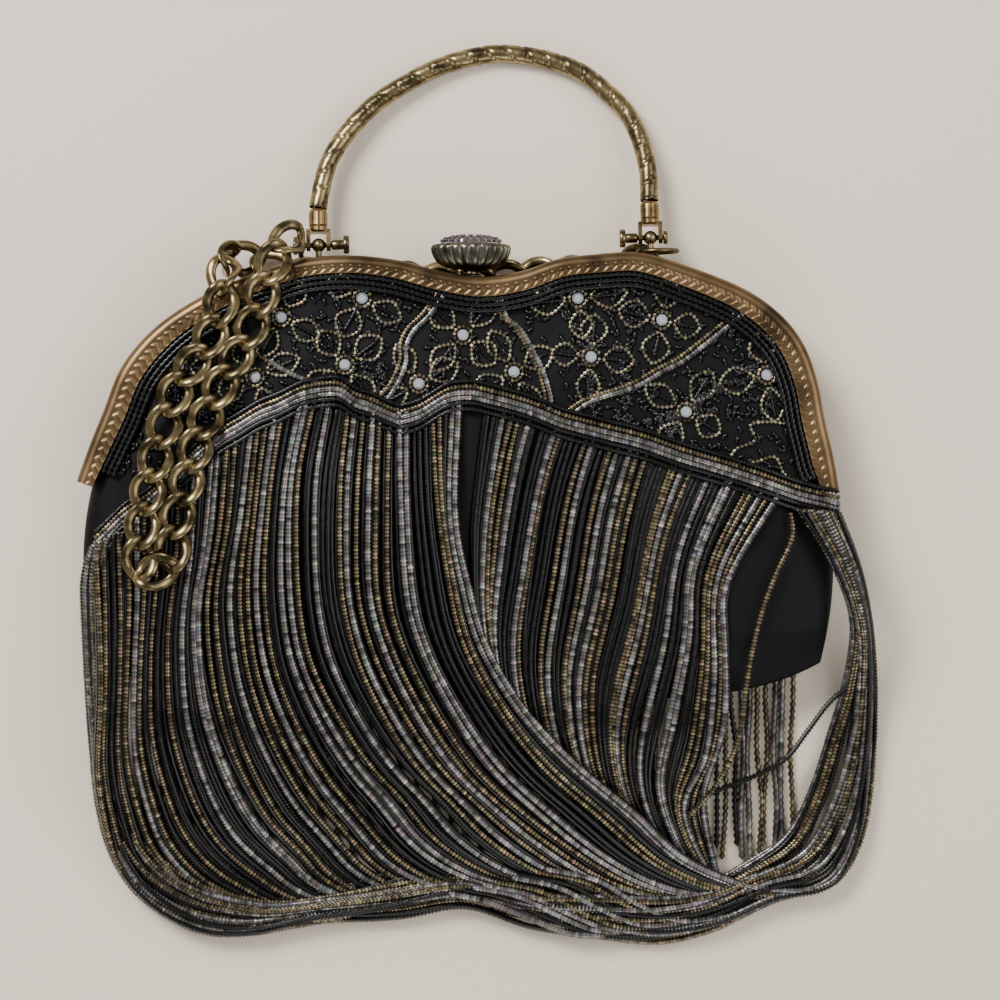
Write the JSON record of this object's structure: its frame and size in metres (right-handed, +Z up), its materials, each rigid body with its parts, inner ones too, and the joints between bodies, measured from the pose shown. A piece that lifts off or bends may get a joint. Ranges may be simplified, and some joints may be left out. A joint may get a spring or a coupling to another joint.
{
  "type": "beaded evening purse",
  "caption": "Evening purse lying on its back: double-humped brass frame, arched swinging handle, fluted clasp, curb chain, satin pouch and looped bead fringe.",
  "frame": {"origin": "on the surface the purse lies on, under the middle of its overall box", "axes": "+Y from the fringe towards the handle, +X to the right seen from the front, +Z up through the front face"},
  "size_m": [0.2296, 0.2554, 0.0304],
  "materials": {
    "frame_brass": "antiqued copper-gold plate with stamped leaves",
    "old_brass": "dark antiqued brass",
    "ferrule_brass": "bright rubbed antique brass",
    "clasp_metal": "greyed antique metal",
    "clasp_stones": "small foiled stones",
    "satin": "black satin",
    "mixed_beads": "silver, bronze and black seed beads",
    "dark_beads": "black and bronze seed beads",
    "yoke_stones": "foiled clear cut stones"
  },
  "bodies": {
    "root": {"pouch": "satin", "frame_front": "frame_brass", "frame_back": "frame_brass", "hinge_left": "old_brass", "hinge_right": "old_brass", "fringe_left": "mixed_beads", "fringe_right": "mixed_beads", "fringe_back": "dark_beads", "clasp_neck": "old_brass", "clasp_cup": "clasp_metal", "clasp_crown": "clasp_stones", "lug_left": "old_brass", "lug_right": "old_brass", "chain": "old_brass", "stone_01": "yoke_stones", "stone_02": "yoke_stones", "stone_03": "yoke_stones", "stone_04": "yoke_stones", "stone_05": "yoke_stones", "stone_06": "yoke_stones", "stone_07": "yoke_stones", "stone_08": "yoke_stones", "stone_09": "yoke_stones", "stone_10": "yoke_stones", "stone_11": "yoke_stones", "stone_12": "yoke_stones", "stone_13": "yoke_stones"},
    "handle": {"handle_arch": "old_brass", "ferrule_left": "ferrule_brass", "ferrule_right": "ferrule_brass"}
  },
  "joints": [
    {"name": "handle_swing", "type": "hinge", "parent": "root", "child": "handle", "pos_m": [-0.00044, 0.07099, 0.0104], "axis": [0.9997, 0.0227, 0], "range_deg": [-70, 98]}
  ]
}
